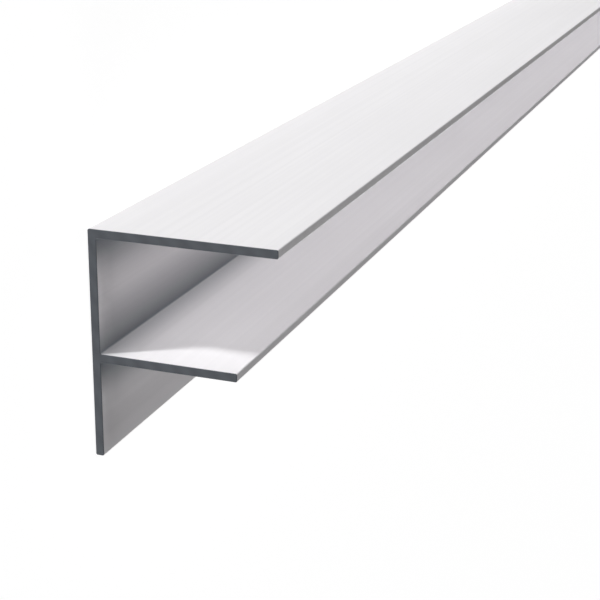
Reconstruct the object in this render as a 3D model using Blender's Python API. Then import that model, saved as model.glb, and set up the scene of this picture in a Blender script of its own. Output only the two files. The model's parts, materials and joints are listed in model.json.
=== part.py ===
"""Aluminium F profile: one straight length of extruded edge trim, as it lies on a level floor.

The section is a thin web with two flanges standing off one side of it, like a letter F. One flange
is flush with the web's edge, the other stands part of the way along, and the room between them
takes the edge of a panel. What is left of the web beyond the second flange is the leg that the
profile is screwed or glued down by.

The profile lies on the back of its web. X runs across the web, from the flush flange to the leg's
free edge, Y along the length, and Z up, the way the flanges stand. The origin is on the floor,
under the middle of the web.
"""

import math

import bmesh
import bpy

MM = 0.001

# Driving dimensions
LENGTH = 1000.0 * MM            # the shortest length this trim is sold in
WEB_HEIGHT = 40.0 * MM          # across the back, from the top flange's outer face to the leg's edge
TOP_FLANGE_WIDTH = 33.0 * MM    # from the web's back to the flange's tip
MID_FLANGE_WIDTH = 26.0 * MM    # the same, for the shorter flange that closes the channel
CHANNEL_GAP = 20.0 * MM         # clear between the two flanges: the panel's thickness
WALL = 1.5 * MM                 # the same all round, so that the metal flows evenly in the die
EDGE_RADIUS = 0.3 * MM          # on every outer corner, as the die leaves it
ROOT_RADIUS = 0.25 * MM         # in the corners where a flange grows out of the web
CORNER_STEPS = 5                # flat steps round each quarter circle

# A rounded edge leaves at least a third of the wall's tip flat, whatever the wall is
LARGEST_EDGE_RADIUS = WALL / 3

# Mill-finish aluminium with a clear satin anodise
ALUMINIUM_COLOUR = (0.78, 0.78, 0.79, 1.0)
ALUMINIUM_ROUGHNESS = 0.42


def clear_scene():
    """Start from an empty scene."""
    for item in list(bpy.data.objects):
        bpy.data.objects.remove(item, do_unlink=True)


def satin_aluminium():
    """The light grey of extruded aluminium under a clear satin anodise."""
    material = bpy.data.materials.new("satin_aluminium")
    material.use_nodes = True
    shader = material.node_tree.nodes["Principled BSDF"]
    shader.inputs["Base Color"].default_value = ALUMINIUM_COLOUR
    shader.inputs["Metallic"].default_value = 1.0
    shader.inputs["Roughness"].default_value = ALUMINIUM_ROUGHNESS
    return material


def section_corners():
    """The section's sharp corners as (x, z), in order round it, each with the radius it gets.

    The walk starts at the heel under the top flange, runs along the web's back to the leg's edge,
    and comes back over the leg, round the middle flange, across the channel's floor and round the
    top flange.
    """
    edge = min(EDGE_RADIUS, LARGEST_EDGE_RADIUS)
    root = ROOT_RADIUS

    top_outside = -WEB_HEIGHT / 2
    top_inside = top_outside + WALL
    mid_inside = top_inside + CHANNEL_GAP
    mid_outside = mid_inside + WALL
    leg_edge = WEB_HEIGHT / 2

    return [
        (top_outside, 0.0, edge),
        (leg_edge, 0.0, edge),
        (leg_edge, WALL, edge),
        (mid_outside, WALL, root),
        (mid_outside, MID_FLANGE_WIDTH, edge),
        (mid_inside, MID_FLANGE_WIDTH, edge),
        (mid_inside, WALL, root),
        (top_inside, WALL, root),
        (top_inside, TOP_FLANGE_WIDTH, edge),
        (top_outside, TOP_FLANGE_WIDTH, edge),
    ]


def round_corners(bm, corners):
    """Round the long edges: each radius in turn, on the edges that run from corners of that radius."""
    for radius in sorted({radius for _, _, radius in corners}):
        places = [(x, z) for x, z, own_radius in corners if own_radius == radius]
        edges = [edge for edge in bm.edges if runs_from(edge, places)]
        bmesh.ops.bevel(
            bm,
            geom=edges,
            offset=radius,
            offset_type="OFFSET",
            segments=CORNER_STEPS,
            profile=0.5,
            affect="EDGES",
            clamp_overlap=False,
        )


def runs_from(edge, places):
    """Whether an edge runs the length of the profile from one of these (x, z) corners."""
    start, end = (vertex.co for vertex in edge.verts)
    if abs(end.y - start.y) < LENGTH / 2:
        return False
    return any(math.hypot(start.x - x, start.z - z) < WALL / 100 for x, z in places)


def f_profile():
    """Draw the section, draw it out to its length as the press does, and round its corners."""
    corners = section_corners()
    bm = bmesh.new()

    section = bm.faces.new([bm.verts.new((x, -LENGTH / 2, z)) for x, z, _ in corners])
    drawn = bmesh.ops.extrude_face_region(bm, geom=[section])["geom"]
    far_end = [item for item in drawn if isinstance(item, bmesh.types.BMVert)]
    bmesh.ops.translate(bm, verts=far_end, vec=(0.0, LENGTH, 0.0))

    round_corners(bm, corners)
    bmesh.ops.recalc_face_normals(bm, faces=bm.faces)

    mesh = bpy.data.meshes.new("f_profile")
    bm.to_mesh(mesh)
    bm.free()
    mesh.shade_smooth()
    mesh.set_sharp_from_angle(angle=math.radians(35))
    mesh.materials.append(satin_aluminium())

    profile = bpy.data.objects.new("f_profile", mesh)
    bpy.context.scene.collection.objects.link(profile)

    # The wide faces keep their own flat normals beside the narrow rounded edges
    weighted = profile.modifiers.new("flat_faces", "WEIGHTED_NORMAL")
    weighted.keep_sharp = True
    return profile


clear_scene()
f_profile()
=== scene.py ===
"""Looks of a length of aluminium F profile: the satin anodised extrusion, its sawn ends and the studio.

Laid out as a Blender add-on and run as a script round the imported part. The part lies on the back of
its web: X runs across the web, Y along the length and Z the way the two flanges stand.
"""

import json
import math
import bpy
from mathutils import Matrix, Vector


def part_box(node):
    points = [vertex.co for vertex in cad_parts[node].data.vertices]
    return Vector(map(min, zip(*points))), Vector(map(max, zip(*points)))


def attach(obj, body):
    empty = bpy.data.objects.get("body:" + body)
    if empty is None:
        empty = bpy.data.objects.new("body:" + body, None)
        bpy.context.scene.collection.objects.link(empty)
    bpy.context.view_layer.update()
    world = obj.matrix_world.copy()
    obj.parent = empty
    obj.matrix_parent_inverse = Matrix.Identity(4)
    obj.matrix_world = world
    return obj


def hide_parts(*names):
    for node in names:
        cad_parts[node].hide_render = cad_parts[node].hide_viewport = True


bl_info = {
    "name": "Aluminium F Profile",
    "version": (1, 0, 0),
    "blender": (4, 5, 0),
    "location": "3D View > Sidebar > F Profile",
    "description": "Models a length of satin anodised F profile with sawn ends, and the studio it lies in",
    "category": "Object",
}

import bmesh
import bpy
from mathutils import Matrix, Vector

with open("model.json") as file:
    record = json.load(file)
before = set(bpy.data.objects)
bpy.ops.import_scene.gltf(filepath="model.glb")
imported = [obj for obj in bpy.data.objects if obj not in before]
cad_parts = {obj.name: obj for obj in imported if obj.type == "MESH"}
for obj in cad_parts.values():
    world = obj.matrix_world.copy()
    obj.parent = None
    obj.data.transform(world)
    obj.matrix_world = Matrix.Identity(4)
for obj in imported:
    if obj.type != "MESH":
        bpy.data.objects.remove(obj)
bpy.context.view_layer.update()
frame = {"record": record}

MM = 0.001
NODE = "f_profile"

# The section's places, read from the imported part
LOW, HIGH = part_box(NODE)
MOUNTS = {mount["name"]: mount["pos_m"] for mount in frame["record"]["mounts"]}
OPENINGS = {opening["name"]: opening["box_m"] for opening in frame["record"]["physics"]["openings"]}
CHANNEL_HIGH = OPENINGS["panel_channel"][1]

# Names of the mesh attributes that the finish reads: where shade is painted in the inner corners, and where
# the rounded edges are painted brighter
CORNER_SHADE = "corner_shade"
EDGE_WEAR_AND_SHEEN = "edge_wear_and_sheen"

# Steps that a rounded corner and the break round a sawn end are drawn in
CORNER_STEPS = 6
BURR_STEPS = 2

# Loops cut over the reach of each inner corner's painted shade, and rings cut over the length at each end
# where that shade reaches less far
REACH_CUTS = 5
OPEN_END_CUTS = 2

# Two faces that turn by less than the first angle are one flat face, by less than the second are
# shaded as a curve, and by more than the third meet in a corner
FLAT = math.radians(1)
CURVED = math.radians(40)
CORNER = math.radians(60)

# An edge whose ends lie further apart than this along Y runs along the profile
LENGTHWISE = 1 * MM

# A flat face's normal has at least this share along one axis, and a rounded corner's has less
SQUARE_ON = 0.99

# Most of a noise texture's values, and most of two such textures' product, lie between these
NOISE_LOW = 0.3
NOISE_HIGH = 0.7
PRODUCT_LOW = 0.12
PRODUCT_HIGH = 0.4

# Radians that a wave texture turns by over one unit, at a scale of 1
WAVE_TURN = 20

WHITE = (1.0, 1.0, 1.0, 1.0)

# Width in millimetres of the sensor that the focal length goes with
SENSOR_WIDTH = 36.0

# Each lamp's name, its turn from the near end towards the upright web's back, its rise above the
# level and how wide it looks, all in degrees, and whether it casts a shadow
LAMPS = (
    ("key", 58, 49, 7, True),
    ("front", 20, 40, 28, True),
    ("right", -90, 34, 14, True),
    ("back", 180, 60, 28, False),
    ("table", -90, -60, 28, True),
    ("under", 0, -90, 28, False),
)


def srgb(hex_colour):
    """A colour written as sRGB hex, turned to the linear red, green and blue that shaders take."""
    shares = [int(hex_colour[i : i + 2], 16) / 255 for i in (1, 3, 5)]
    return tuple(s / 12.92 if s <= 0.04045 else ((s + 0.055) / 1.055) ** 2.4 for s in shares)


class FProfileShape(bpy.types.PropertyGroup):
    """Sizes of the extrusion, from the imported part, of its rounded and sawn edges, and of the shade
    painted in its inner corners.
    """

    wall: bpy.props.FloatProperty(
        name="Wall",
        description="Thickness of the web and both flanges",
        default=MOUNTS["channel_floor"][2],
        unit="LENGTH",
    )
    mid_inside: bpy.props.FloatProperty(
        name="Middle Flange Face",
        description="Where the middle flange's channel side stands across the web",
        default=MOUNTS["panel_seat"][0],
        unit="LENGTH",
    )
    mid_tip: bpy.props.FloatProperty(
        name="Middle Flange Height",
        description="From the web's back to the middle flange's tip",
        default=CHANNEL_HIGH[2],
        unit="LENGTH",
    )
    edge_radius: bpy.props.FloatProperty(
        name="Edge Radius",
        description="Rounding of the outer corners, as the die leaves them",
        default=0.3 * MM,
        unit="LENGTH",
    )
    root_radius: bpy.props.FloatProperty(
        name="Root Radius",
        description="Fillet where a flange grows out of the web",
        default=0.25 * MM,
        unit="LENGTH",
    )
    burr: bpy.props.FloatProperty(
        name="Deburred Edge",
        description="Width of the break that a file leaves round a sawn end",
        default=0.12 * MM,
        unit="LENGTH",
    )
    ring: bpy.props.FloatProperty(
        name="Ring Spacing",
        description="Length of each stretch between the edge loops that cut the long faces up",
        default=50 * MM,
        unit="LENGTH",
    )
    # Painted shade in the inner corners: how far it reaches along the web and along a flange, and how dark
    # a flange's root is painted against the web
    web_shade_reach: bpy.props.FloatProperty(
        name="Web Reach",
        description="How far out of an inner corner its greyer skin reaches along the web",
        default=9.5 * MM,
        unit="LENGTH",
    )
    flange_shade_reach: bpy.props.FloatProperty(
        name="Flange Reach",
        description="How far out of an inner corner its greyer skin reaches along a flange",
        default=6 * MM,
        unit="LENGTH",
    )
    flange_shade_share: bpy.props.FloatProperty(
        name="Flange Share",
        description="How grey a flange is at its root, against the web beside it",
        default=0.5,
        min=0,
        max=1,
        subtype="FACTOR",
    )
    # The painted corner shade reaches less far near each sawn end, where the open end lets more light in
    open_end_length: bpy.props.FloatProperty(
        name="Wiped Length",
        description="How far in from a sawn end a cloth has wiped some of the inner corners' grey off",
        default=5 * MM,
        unit="LENGTH",
    )
    open_end_share: bpy.props.FloatProperty(
        name="Wiped Share",
        description="How much of its reach the inner corners' grey still has right at a sawn end",
        default=0.7,
        min=0,
        max=1,
        subtype="FACTOR",
    )


class FProfileFinish(bpy.types.PropertyGroup):
    """Colours and shine of the anodised faces and the sawn ends, with the shade painted in the inner
    corners and on the sawn ends, and the brighter edges.
    """

    aluminium: bpy.props.FloatVectorProperty(
        name="Satin Aluminium",
        description="Colour of the anodised faces",
        subtype="COLOR",
        default=srgb("#e5e3e5"),
    )
    die_line: bpy.props.FloatVectorProperty(
        name="Die Lines",
        description="Colour of the faint darker lines that the die draws along the length",
        subtype="COLOR",
        default=srgb("#e0dee0"),
    )
    # Painted shade: the colour painted deep in the inner corners for the shade that gathers there
    corner_shade: bpy.props.FloatVectorProperty(
        name="Inner Corners",
        description="Colour deep in the inner corners, where the etch and the rinse reach least",
        subtype="COLOR",
        default=srgb("#787d82"),
    )
    # Rounded edges' brighter colour: partly wear from handling, partly a painted highlight of the light
    # that rounded edges catch
    edge_wear_and_sheen: bpy.props.FloatVectorProperty(
        name="Rubbed Edges",
        description="Colour of the rounded outer edges, which handling has rubbed",
        subtype="COLOR",
        default=srgb("#eae8ea"),
    )
    metallic: bpy.props.FloatProperty(
        name="Metallic",
        description="How far the matt, etched and anodised skin still shines as bare metal",
        default=0.1,
        min=0,
        max=1,
        subtype="FACTOR",
    )
    roughness: bpy.props.FloatProperty(
        name="Roughness",
        description="Roughness of the satin faces",
        default=0.6,
        min=0,
        max=1,
        subtype="FACTOR",
    )
    roughness_drift: bpy.props.FloatProperty(
        name="Roughness Drift",
        description="How far the satin faces' roughness strays either way over the cloudy patches",
        default=0.05,
        min=0,
        max=1,
        subtype="FACTOR",
    )
    line_pitch: bpy.props.FloatProperty(
        name="Die Line Pitch",
        description="From one die line to the next",
        default=0.9 * MM,
        unit="LENGTH",
    )
    line_drift: bpy.props.FloatProperty(
        name="Die Line Drift",
        description="Length over which a die line comes and goes",
        default=330 * MM,
        unit="LENGTH",
    )
    cloud_width: bpy.props.FloatProperty(
        name="Cloud Width",
        description="Width of a patch where the etch bit a little more or less",
        default=16 * MM,
        unit="LENGTH",
    )
    cloud_length: bpy.props.FloatProperty(
        name="Cloud Length",
        description="Length of such a patch",
        default=60 * MM,
        unit="LENGTH",
    )
    grain: bpy.props.FloatProperty(
        name="Etch Grain",
        description="Size of the etch's grain as it is drawn",
        default=0.25 * MM,
        unit="LENGTH",
    )
    skin_depth: bpy.props.FloatProperty(
        name="Skin Depth",
        description="Depth of the die lines and of the etch's grain",
        default=0.01 * MM,
        unit="LENGTH",
    )
    # Painted shade: the sawn end's colours are dark grey for the shade that the end stands in
    sawn: bpy.props.FloatVectorProperty(
        name="Sawn End",
        description="Colour of the raw sawn metal",
        subtype="COLOR",
        default=srgb("#64686f"),
    )
    sawn_groove: bpy.props.FloatVectorProperty(
        name="Saw Marks",
        description="Colour down in the marks of the saw's teeth",
        subtype="COLOR",
        default=srgb("#565a60"),
    )
    sawn_roughness: bpy.props.FloatProperty(
        name="Sawn Roughness",
        description="Roughness of the sawn ends",
        default=0.575,
        min=0,
        max=1,
        subtype="FACTOR",
    )
    sawn_drift: bpy.props.FloatProperty(
        name="Sawn Roughness Drift",
        description="How far the sawn ends' roughness strays either way where the metal is smeared",
        default=0.075,
        min=0,
        max=1,
        subtype="FACTOR",
    )
    saw_pitch: bpy.props.FloatProperty(
        name="Saw Mark Pitch",
        description="From one saw mark to the next as they are drawn",
        default=2.83 * MM,
        unit="LENGTH",
    )
    saw_depth: bpy.props.FloatProperty(
        name="Saw Mark Depth",
        description="Depth of the saw marks",
        default=0.02 * MM,
        unit="LENGTH",
    )
    blade_middle: bpy.props.FloatVectorProperty(
        name="Blade Middle",
        description="Where the saw blade's middle stood as it cut an end",
        default=(90 * MM, 0.0, -120 * MM),
        unit="LENGTH",
    )
    smear: bpy.props.FloatProperty(
        name="Smear Size",
        description="Size of the places where the saw smeared the metal",
        default=1.2 * MM,
        unit="LENGTH",
    )


class FProfileStage(bpy.types.PropertyGroup):
    """The photograph's view, the lamps and the floor.

    A lamp's strength is how near to white it lights a white face turned to it.
    """

    camera_place: bpy.props.FloatVectorProperty(
        name="Camera Place",
        description="From the near top corner of the section, with the profile stood on its leg as in the "
        "photograph: across towards the flange tips, along the length, and up",
        default=(108.14 * MM, -198.35 * MM, 64.08 * MM),
        unit="LENGTH",
    )
    camera_turn: bpy.props.FloatProperty(
        name="Camera Turn",
        description="How far the camera turns left of the profile's length",
        default=math.radians(19.824),
        unit="ROTATION",
    )
    camera_dip: bpy.props.FloatProperty(
        name="Camera Dip",
        description="How far the camera looks down",
        default=math.radians(18.776),
        unit="ROTATION",
    )
    camera_roll: bpy.props.FloatProperty(
        name="Camera Roll",
        description="How far the camera leans about its own line of sight",
        default=math.radians(0.551),
        unit="ROTATION",
    )
    lens: bpy.props.FloatProperty(
        name="Lens",
        description="Focal length on a sensor 36 mm wide",
        default=86.29,
        unit="CAMERA",
    )
    floor_size: bpy.props.FloatProperty(
        name="Floor Size",
        description="Side of the square floor",
        default=60.0,
        unit="LENGTH",
    )
    floor_glow: bpy.props.FloatProperty(
        name="Floor Glow",
        description="How white the floor is in the profile's shadow",
        default=0.9,
        min=0,
        max=1,
        subtype="FACTOR",
    )
    floor_shade: bpy.props.FloatProperty(
        name="Floor Shade",
        description="How much the lamps add to the floor's white outside the shadow",
        default=0.25,
        min=0,
        max=1,
        subtype="FACTOR",
    )
    floor_bounce: bpy.props.FloatProperty(
        name="Floor Bounce",
        description="How pale the floor is to the light that it throws back on the profile",
        default=0.6,
        min=0,
        max=1,
        subtype="FACTOR",
    )
    world: bpy.props.FloatProperty(
        name="World",
        description="Strength of the even light from all round",
        default=0.084,
    )
    key: bpy.props.FloatProperty(
        name="Key Lamp",
        description="Strength of the lamp high on the near end's left, which lights the channel's front",
        default=0.82,
    )
    key_colour: bpy.props.FloatVectorProperty(
        name="Key Colour",
        description="Colour of the key lamp's light, which evens out some of the metal's violet",
        subtype="COLOR",
        default=(0.985, 1.0, 0.992),
    )
    front: bpy.props.FloatProperty(
        name="Front Lamp",
        description="Strength of the soft lamp before the near end, which fills in where the key stops",
        default=0.17,
    )
    right: bpy.props.FloatProperty(
        name="Right Lamp",
        description="Strength of the lamp on the side of the flanges' tips",
        default=0.18,
    )
    back: bpy.props.FloatProperty(
        name="Back Lamp",
        description="Strength of the even fill from above the far end",
        default=0.18,
    )
    table: bpy.props.FloatProperty(
        name="Table",
        description="Strength of the light that a white table throws up from the right",
        default=0.2,
    )
    under: bpy.props.FloatProperty(
        name="Under Light",
        description="Strength of the even light from straight below",
        default=0.72,
    )


def deselect_all():
    """Leave nothing selected, because an operator acts on everything that is."""
    bpy.ops.object.select_all(action="DESELECT")


def select_only(piece):
    """Select one piece and make it active."""
    deselect_all()
    piece.select_set(True)
    bpy.context.view_layer.objects.active = piece


def move_place_into_mesh(piece):
    """Leave the object at the origin, unturned and unscaled, with its place in its mesh."""
    select_only(piece)
    bpy.ops.object.transform_apply(location=True, rotation=True, scale=True)


def select_parts(piece, kind, wanted):
    """In edit mode, select just the faces, or just the edges, that the test wants."""
    bpy.ops.mesh.select_mode(type=kind)
    bpy.ops.mesh.select_all(action="DESELECT")
    mesh = bmesh.from_edit_mesh(piece.data)
    parts = mesh.faces if kind == "FACE" else mesh.edges
    for part in parts:
        part.select_set(wanted(part))
    bmesh.update_edit_mesh(piece.data)


def cut_all(place, normal):
    """In edit mode, cut an edge loop round the whole piece where a plane crosses it."""
    bpy.ops.mesh.select_all(action="SELECT")
    bpy.ops.mesh.bisect(plane_co=place, plane_no=normal)


def round_off(width, steps):
    """In edit mode, round the selected edges off."""
    bpy.ops.mesh.bevel(
        offset=width,
        offset_type="OFFSET",
        segments=steps,
        profile=0.5,
        affect="EDGES",
        clamp_overlap=False,
    )


def opaque(colour):
    """A linear colour with full alpha after it, as a shader's colour sockets take it."""
    return (*colour, 1.0)


def add_node(tree, kind, sockets=None, **settings):
    """Add a shader node, change its settings, and fill its sockets with values or other nodes' outputs."""
    node = tree.nodes.new(kind)
    for name, value in settings.items():
        setattr(node, name, value)
    for name, value in (sockets or {}).items():
        if isinstance(value, bpy.types.NodeSocket):
            tree.links.new(value, node.inputs[name])
        else:
            node.inputs[name].default_value = value
    return node


def new_material(name):
    """An empty material and its node tree."""
    material = bpy.data.materials.new(name)
    material.use_nodes = True
    material.node_tree.nodes.clear()
    return material, material.node_tree


def satin_anodised_aluminium(finish):
    """Extruded 6060 alloy, etched matt in caustic soda and then anodised clear.

    The etch gives a fine, even grain and a soft broad shine, the oxide takes the edge off the mirror, and
    the die leaves faint lines that run the whole length. Shade is painted in the inner corners, and the
    rounded outer edges are painted a little brighter, partly as wear from handling and partly as a painted
    highlight.
    """
    material, tree = new_material("satin_anodised_aluminium")
    place = add_node(tree, "ShaderNodeTexCoord").outputs["Object"]

    # Die lines a little under a millimetre apart, each drifting over a third of a metre
    across = 1 / finish.line_pitch
    line_place = add_node(
        tree,
        "ShaderNodeMapping",
        {"Vector": place, "Scale": (across, 1 / finish.line_drift, across)},
    )
    lines = add_node(
        tree,
        "ShaderNodeTexNoise",
        {"Vector": line_place.outputs["Vector"], "Scale": 1.0, "Detail": 2.0, "Roughness": 0.6},
    ).outputs["Fac"]

    # Cloudy patches a few centimetres long, where the etch bit a little more or less
    across = 1 / finish.cloud_width
    cloud_place = add_node(
        tree,
        "ShaderNodeMapping",
        {"Vector": place, "Scale": (across, 1 / finish.cloud_length, across)},
    )
    clouds = add_node(
        tree,
        "ShaderNodeTexNoise",
        {"Vector": cloud_place.outputs["Vector"], "Scale": 1.0, "Detail": 3.0, "Roughness": 0.5},
    ).outputs["Fac"]

    # The etch's grain is some 0.05 mm, and is drawn five times as coarse so that it shows
    grain = add_node(
        tree,
        "ShaderNodeTexNoise",
        {"Vector": place, "Scale": 1 / finish.grain, "Detail": 1.0, "Roughness": 0.5},
    ).outputs["Fac"]

    streaks = add_node(
        tree,
        "ShaderNodeMath",
        {0: lines, 1: clouds},
        operation="MULTIPLY",
    ).outputs["Value"]
    streaks = add_node(
        tree,
        "ShaderNodeMapRange",
        {"Value": streaks, "From Min": PRODUCT_LOW, "From Max": PRODUCT_HIGH},
    ).outputs["Result"]
    colour = add_node(
        tree,
        "ShaderNodeMix",
        {"Factor": streaks, "A": opaque(finish.die_line), "B": opaque(finish.aluminium)},
        data_type="RGBA",
    ).outputs["Result"]

    # Painted shade: the inner corners are darkened towards the corner colour, for the shade that gathers in
    # them
    corner_shade = add_node(tree, "ShaderNodeAttribute", attribute_name=CORNER_SHADE).outputs["Fac"]
    colour = add_node(
        tree,
        "ShaderNodeMix",
        {"Factor": corner_shade, "A": colour, "B": opaque(finish.corner_shade)},
        data_type="RGBA",
    ).outputs["Result"]
    # Rounded edges are painted brighter: partly wear, partly a painted highlight
    edge_wear_and_sheen = add_node(tree, "ShaderNodeAttribute", attribute_name=EDGE_WEAR_AND_SHEEN).outputs["Fac"]
    colour = add_node(
        tree,
        "ShaderNodeMix",
        {"Factor": edge_wear_and_sheen, "A": colour, "B": opaque(finish.edge_wear_and_sheen)},
        data_type="RGBA",
    ).outputs["Result"]

    roughness = add_node(
        tree,
        "ShaderNodeMapRange",
        {
            "Value": clouds,
            "From Min": NOISE_LOW,
            "From Max": NOISE_HIGH,
            "To Min": finish.roughness - finish.roughness_drift,
            "To Max": finish.roughness + finish.roughness_drift,
        },
    ).outputs["Result"]

    bump = add_node(
        tree,
        "ShaderNodeBump",
        {"Strength": 0.15, "Distance": finish.skin_depth, "Height": lines},
    ).outputs["Normal"]
    bump = add_node(
        tree,
        "ShaderNodeBump",
        {"Strength": 0.2, "Distance": finish.skin_depth, "Height": grain, "Normal": bump},
    ).outputs["Normal"]

    shader = add_node(
        tree,
        "ShaderNodeBsdfPrincipled",
        {
            "Base Color": colour,
            "Metallic": finish.metallic,
            "Roughness": roughness,
            "Normal": bump,
        },
    )
    add_node(tree, "ShaderNodeOutputMaterial", {"Surface": shader.outputs["BSDF"]})
    return material


def sawn_aluminium(finish):
    """The raw end, cut by a circular saw after the profile was anodised.

    The blade's teeth leave shallow arcs. The end is painted dark grey for the shade that it stands in, so
    it looks dark beside the pale skin.
    """
    material, tree = new_material("sawn_aluminium")
    place = add_node(tree, "ShaderNodeTexCoord").outputs["Object"]

    # The blade's middle stood 150 mm off the section, so its arcs are almost straight. A tooth's mark
    # is some 0.5 mm wide, and the marks are drawn coarser so that they show.
    blade_place = add_node(
        tree,
        "ShaderNodeMapping",
        {"Vector": place, "Location": -Vector(finish.blade_middle), "Scale": (1.0, 0.0, 1.0)},
    )
    arcs = add_node(
        tree,
        "ShaderNodeTexWave",
        {
            "Vector": blade_place.outputs["Vector"],
            "Scale": math.tau / WAVE_TURN / finish.saw_pitch,
            "Distortion": 1.5,
            "Detail": 2.0,
            "Detail Scale": 3.0,
        },
        wave_type="RINGS",
        rings_direction="SPHERICAL",
    ).outputs["Fac"]
    smear = add_node(
        tree,
        "ShaderNodeTexNoise",
        {"Vector": place, "Scale": 1 / finish.smear, "Detail": 3.0},
    ).outputs["Fac"]
    marks = add_node(tree, "ShaderNodeMath", {0: arcs, 1: smear}, operation="MULTIPLY").outputs["Value"]

    # Painted shade: both colours are dark grey for the shade on the end, with the saw's marks between them
    colour = add_node(
        tree,
        "ShaderNodeMix",
        {"Factor": marks, "A": opaque(finish.sawn_groove), "B": opaque(finish.sawn)},
        data_type="RGBA",
    ).outputs["Result"]
    roughness = add_node(
        tree,
        "ShaderNodeMapRange",
        {
            "Value": smear,
            "From Min": NOISE_LOW,
            "From Max": NOISE_HIGH,
            "To Min": finish.sawn_roughness - finish.sawn_drift,
            "To Max": finish.sawn_roughness + finish.sawn_drift,
        },
    ).outputs["Result"]
    bump = add_node(
        tree,
        "ShaderNodeBump",
        {"Strength": 0.4, "Distance": finish.saw_depth, "Height": arcs},
    ).outputs["Normal"]
    shader = add_node(
        tree,
        "ShaderNodeBsdfPrincipled",
        {
            "Base Color": colour,
            "Metallic": finish.metallic,
            "Roughness": roughness,
            "Normal": bump,
        },
    )
    add_node(tree, "ShaderNodeOutputMaterial", {"Surface": shader.outputs["BSDF"]})
    return material


class FPROFILE_OT_extrusion(bpy.types.Operator):
    """Model the extrusion with rounded corners and sawn ends"""

    bl_idname = "f_profile.extrusion"
    bl_label = "Extrusion"

    def execute(self, context):
        shape = context.scene.f_profile_shape
        finish = context.scene.f_profile_finish
        profile = self.draw_section(shape)
        self.round_corners(profile, shape)
        self.cut_loops(shape)
        self.finish_ends(profile, shape, finish)
        self.shade(profile)
        self.paint_corner_shade(profile, shape)
        self.paint_edge_wear_and_sheen(profile, shape)
        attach(profile, "root")
        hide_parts(NODE)
        return {"FINISHED"}

    def inner_corners(self, shape):
        """The three inner corners as (x, z, the way along X that the web runs on from them)."""
        return (
            (LOW.x + shape.wall, shape.wall, 1),
            (shape.mid_inside, shape.wall, -1),
            (shape.mid_inside + shape.wall, shape.wall, 1),
        )

    def draw_section(self, shape):
        """A flat strip for the web, with the two flanges extruded from it."""
        deselect_all()
        bpy.ops.mesh.primitive_cube_add(
            size=1.0,
            location=(0.0, 0.0, shape.wall / 2),
            scale=(HIGH.x - LOW.x, HIGH.y - LOW.y, shape.wall),
        )
        profile = bpy.context.object
        profile.name = "extrusion"
        profile.data.name = "extrusion"
        move_place_into_mesh(profile)

        top_inside = LOW.x + shape.wall
        mid_outside = shape.mid_inside + shape.wall
        bpy.ops.object.mode_set(mode="EDIT")
        for x in (top_inside, shape.mid_inside, mid_outside):
            cut_all((x, 0.0, 0.0), (1.0, 0.0, 0.0))
        for left, right, tip in (
            (LOW.x, top_inside, HIGH.z),
            (shape.mid_inside, mid_outside, shape.mid_tip),
        ):
            select_parts(
                profile,
                "FACE",
                lambda face: face.normal.z > SQUARE_ON and left < face.calc_center_median().x < right,
            )
            bpy.ops.mesh.extrude_region_move(
                TRANSFORM_OT_translate={"value": (0.0, 0.0, tip - shape.wall)}
            )
        bpy.ops.object.mode_set(mode="OBJECT")
        return profile

    def is_corner(self, edge, lengthwise):
        """Whether two faces meet in a corner at this edge, and it runs along the profile or not."""
        apart = abs(edge.verts[0].co.y - edge.verts[1].co.y)
        return (apart > LENGTHWISE) == lengthwise and edge.calc_face_angle() > CORNER

    def round_corners(self, profile, shape):
        """Round the long edges: outer corners by the edge radius, and flanges' roots by the root radius."""
        bpy.ops.object.mode_set(mode="EDIT")
        bpy.ops.mesh.select_all(action="SELECT")
        bpy.ops.mesh.dissolve_limited(angle_limit=FLAT)
        for convex, radius in ((True, shape.edge_radius), (False, shape.root_radius)):
            select_parts(
                profile,
                "EDGE",
                lambda edge: self.is_corner(edge, lengthwise=True) and edge.is_convex == convex,
            )
            round_off(radius, CORNER_STEPS)
        bpy.ops.object.mode_set(mode="OBJECT")

    def cut_loops(self, shape):
        """Cut rings across the long faces, and loops along them beside each inner corner."""
        length = HIGH.y - LOW.y
        count = round(length / shape.ring)
        bpy.ops.object.mode_set(mode="EDIT")
        for step in range(1, count):
            cut_all((0.0, LOW.y + length * step / count, 0.0), (0.0, 1.0, 0.0))
        for step in range(1, OPEN_END_CUTS + 1):
            inward = shape.open_end_length * step / OPEN_END_CUTS
            for y in (LOW.y + inward, HIGH.y - inward):
                cut_all((0.0, y, 0.0), (0.0, 1.0, 0.0))
        for step in range(1, REACH_CUTS + 1):
            share = step / REACH_CUTS
            cut_all((0.0, 0.0, shape.wall + share * shape.flange_shade_reach), (0.0, 0.0, 1.0))
            for x, _, way in self.inner_corners(shape):
                cut_all((x + way * share * shape.web_shade_reach, 0.0, 0.0), (1.0, 0.0, 0.0))
        bpy.ops.object.mode_set(mode="OBJECT")

    def finish_ends(self, profile, shape, finish):
        """Break the sharp edge round each sawn end, and give the ends their own finish."""
        profile.data.materials.clear()
        profile.data.materials.append(satin_anodised_aluminium(finish))
        profile.data.materials.append(sawn_aluminium(finish))
        bpy.ops.object.mode_set(mode="EDIT")
        select_parts(profile, "EDGE", lambda edge: self.is_corner(edge, lengthwise=False))
        round_off(shape.burr, BURR_STEPS)
        select_parts(
            profile, "FACE", lambda face: abs(face.calc_center_median().y) > HIGH.y - shape.burr
        )
        profile.active_material_index = 1
        bpy.ops.object.material_slot_assign()
        bpy.ops.object.mode_set(mode="OBJECT")

    def shade(self, profile):
        """Smooth the rounded corners, and keep the wide faces flat beside them."""
        select_only(profile)
        bpy.ops.object.shade_smooth_by_angle(angle=CURVED)
        weighted = profile.modifiers.new("flat_faces", "WEIGHTED_NORMAL")
        weighted.keep_sharp = True
        bpy.ops.object.modifier_apply(modifier=weighted.name)

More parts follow.
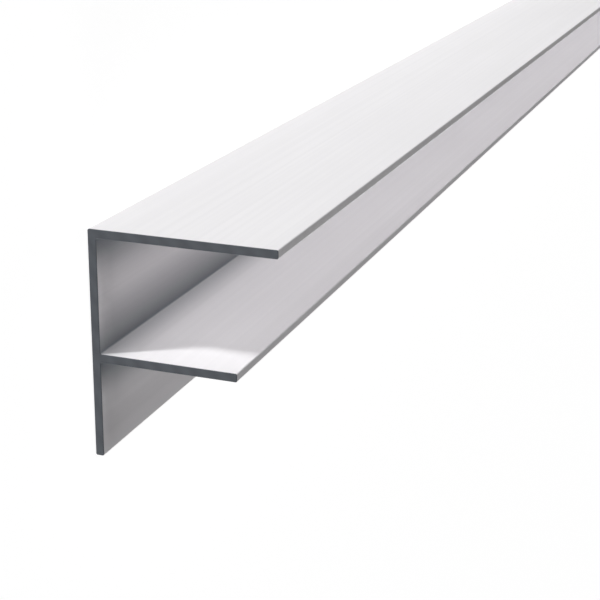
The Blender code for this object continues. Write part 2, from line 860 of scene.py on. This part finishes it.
    def paint_corner_shade(self, profile, shape):
        """Write the shade painted at each point, from the most right in an inner corner to 0 past its
        reach.
        """
        corner_shade = profile.data.attributes.new(CORNER_SHADE, "FLOAT", "POINT")
        for vertex, depth in zip(profile.data.vertices, corner_shade.data):
            x, y, z = vertex.co
            outer_skin = x < LOW.x + shape.wall / 2 or z < shape.wall / 2
            depth.value = 0.0 if outer_skin else self.corner_shade_depth(shape, x, y, z)

    def corner_shade_depth(self, shape, x, y, z):
        """How much shade is painted at a point, from the nearest inner corner outwards.

        A flange starts with less painted shade than the web beside it. Where the web runs on in +X from a
        corner, the painted shade fades slowly at first.
        """
        apart, way = min(
            (math.hypot(x - at_x, z - at_z), way) for at_x, at_z, way in self.inner_corners(shape)
        )
        # 0 on the web and 1 on a flange, and in between over the fillet
        rise = min(max(z - shape.wall, 0.0) / max(apart, shape.root_radius), 1.0)
        share = 1 + (shape.flange_shade_share - 1) * rise
        reach = shape.web_shade_reach + (shape.flange_shade_reach - shape.web_shade_reach) * rise
        # 0 right at a sawn end, where the open end lets more light in and the painted shade reaches less
        # far, and 1 from that length on
        inward = min((HIGH.y - abs(y)) / shape.open_end_length, 1.0)
        reach *= shape.open_end_share + (1 - shape.open_end_share) * inward
        out = min(apart / reach, 1.0)
        if way > 0:
            # The smooth step, an S-shaped curve from 0 to 1
            out = out * out * (3 - 2 * out)
        return share * (1 - out)

    def paint_edge_wear_and_sheen(self, profile, shape):
        """Write 1 on the faces of the rounded outer edges, painted brighter as wear and as a painted
        highlight, and 0 on all others.
        """
        edge_wear_and_sheen = profile.data.attributes.new(EDGE_WEAR_AND_SHEEN, "FLOAT", "FACE")
        for face, rubbed_and_sheen in zip(profile.data.polygons, edge_wear_and_sheen.data):
            x, _, z = face.center
            turned = max(abs(share) for share in face.normal) < SQUARE_ON
            apart = min(math.hypot(x - at_x, z - at_z) for at_x, at_z, _ in self.inner_corners(shape))
            rubbed_and_sheen.value = 1.0 if turned and apart > shape.wall / 2 else 0.0


class FPROFILE_OT_stage(bpy.types.Operator):
    """Set up the floor, the lamps, the world and the photograph's view"""

    bl_idname = "f_profile.stage"
    bl_label = "Stage"

    def execute(self, context):
        stage = context.scene.f_profile_stage
        context.scene.view_settings.view_transform = "Standard"
        self.add_floor(stage)
        self.add_world(context.scene, stage)
        self.add_lamps(stage)
        self.add_camera(context.scene, stage)
        return {"FINISHED"}

    def lay_over(self):
        """The move that lays the photograph's upright profile, and all round it, on the web's back.

        It starts from a profile that stands on its leg, with the near top corner of its section at the
        origin and the flanges pointing right. Up then becomes -X, and right becomes Z.
        """
        return Matrix(
            (
                (0.0, 0.0, -1.0, LOW.x),
                (0.0, 1.0, 0.0, LOW.y),
                (1.0, 0.0, 0.0, LOW.z),
                (0.0, 0.0, 0.0, 1.0),
            )
        )

    def add_floor(self, stage):
        """A pale floor that the camera and the metal see as white, with the profile's shadow on it.

        Lamps that stood to the left of the upright profile now shine from under the floor, so the
        floor casts no shadow of its own.
        """
        deselect_all()
        bpy.ops.mesh.primitive_plane_add(size=stage.floor_size, location=(0.0, 0.0, 0.0))
        floor = bpy.context.object
        floor.name = "floor"
        floor.visible_shadow = False
        floor.data.materials.append(self.floor_material(stage))

    def floor_material(self, stage):
        """Pale floor: white to the camera and in reflections, plain light grey to bounced light."""
        material, tree = new_material("pale_floor")
        path = add_node(tree, "ShaderNodeLightPath").outputs
        seen = add_node(
            tree,
            "ShaderNodeMath",
            {0: path["Is Camera Ray"], 1: path["Is Glossy Ray"]},
            operation="MAXIMUM",
        ).outputs["Value"]
        seen = add_node(
            tree,
            "ShaderNodeMath",
            {0: seen, 1: path["Is Transmission Ray"]},
            operation="MAXIMUM",
        ).outputs["Value"]
        white = add_node(tree, "ShaderNodeEmission", {"Color": WHITE, "Strength": stage.floor_glow})
        shadowed = add_node(tree, "ShaderNodeBsdfDiffuse", {"Color": opaque([stage.floor_shade] * 3)})
        shown = add_node(
            tree, "ShaderNodeAddShader", {0: white.outputs["Emission"], 1: shadowed.outputs["BSDF"]}
        )
        bounced = add_node(tree, "ShaderNodeBsdfDiffuse", {"Color": opaque([stage.floor_bounce] * 3)})
        mixed = add_node(
            tree,
            "ShaderNodeMixShader",
            {0: seen, 1: bounced.outputs["BSDF"], 2: shown.outputs["Shader"]},
        )
        add_node(tree, "ShaderNodeOutputMaterial", {"Surface": mixed.outputs["Shader"]})
        return material

    def add_world(self, scene, stage):
        """A little even light from all round."""
        world = bpy.data.worlds.new("studio")
        world.use_nodes = True
        tree = world.node_tree
        tree.nodes.clear()
        light = add_node(tree, "ShaderNodeBackground", {"Color": WHITE, "Strength": stage.world})
        add_node(tree, "ShaderNodeOutputWorld", {"Surface": light.outputs["Background"]})
        scene.world = world

    def add_lamps(self, stage):
        """The key and the softer lamps, placed round the upright profile and laid over with it."""
        for name, turn, rise, spread, shadow in LAMPS:
            lamp = self.add_lamp(name, getattr(stage, name), turn, rise, spread, shadow)
            if name == "key":
                lamp.color = stage.key_colour

    def add_lamp(self, name, strength, turn, rise, spread, shadow):
        """A distant lamp that shines from the given way, as the list of lamps counts it."""
        lamp = bpy.data.lights.new(name, "SUN")
        lamp.energy = math.pi * strength
        lamp.angle = math.radians(spread)
        lamp.use_shadow = shadow
        turn = math.radians(turn)
        rise = math.radians(rise)
        way = Vector((-math.sin(turn) * math.cos(rise), -math.cos(turn) * math.cos(rise), math.sin(rise)))
        way = self.lay_over().to_3x3() @ way
        holder = bpy.data.objects.new(name, lamp)
        holder.location = way
        holder.rotation_euler = way.to_track_quat("Z", "Y").to_euler()
        bpy.context.scene.collection.objects.link(holder)
        return lamp

    def add_camera(self, scene, stage):
        """The photograph's view of the near end, laid over with the profile on to the web's back."""
        lens = bpy.data.cameras.new("photograph")
        lens.sensor_width = SENSOR_WIDTH
        lens.lens = stage.lens
        lens.clip_start = 10 * MM
        lens.clip_end = 100.0
        camera = bpy.data.objects.new("photograph", lens)
        scene.collection.objects.link(camera)

        camera.matrix_world = (
            self.lay_over()
            @ Matrix.Translation(stage.camera_place)
            @ Matrix.Rotation(stage.camera_turn, 4, "Z")
            @ Matrix.Rotation(math.pi / 2 - stage.camera_dip, 4, "X")
            @ Matrix.Rotation(stage.camera_roll, 4, "Z")
        )
        scene.camera = camera


class FPROFILE_PT_panel(bpy.types.Panel):
    """The pieces and the sizes behind them"""

    bl_idname = "FPROFILE_PT_panel"
    bl_label = "F Profile"
    bl_space_type = "VIEW_3D"
    bl_region_type = "UI"
    bl_category = "F Profile"

    def draw(self, context):
        for group in (
            context.scene.f_profile_shape,
            context.scene.f_profile_finish,
            context.scene.f_profile_stage,
        ):
            box = self.layout.box()
            for name in group.__annotations__:
                box.prop(group, name)
        self.layout.operator(FPROFILE_OT_extrusion.bl_idname)
        self.layout.operator(FPROFILE_OT_stage.bl_idname)


CLASSES = (
    FProfileShape,
    FProfileFinish,
    FProfileStage,
    FPROFILE_OT_extrusion,
    FPROFILE_OT_stage,
    FPROFILE_PT_panel,
)


def register():
    """Register the classes and put their values on the scene."""
    for item in CLASSES:
        bpy.utils.register_class(item)
    bpy.types.Scene.f_profile_shape = bpy.props.PointerProperty(type=FProfileShape)
    bpy.types.Scene.f_profile_finish = bpy.props.PointerProperty(type=FProfileFinish)
    bpy.types.Scene.f_profile_stage = bpy.props.PointerProperty(type=FProfileStage)


def unregister():
    """Take the values off the scene and unregister the classes."""
    del bpy.types.Scene.f_profile_stage
    del bpy.types.Scene.f_profile_finish
    del bpy.types.Scene.f_profile_shape
    for item in reversed(CLASSES):
        bpy.utils.unregister_class(item)


def main():
    """Model the pieces in order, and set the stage."""
    register()
    bpy.ops.f_profile.extrusion()
    bpy.ops.f_profile.stage()


if __name__ == "__main__":
    main()
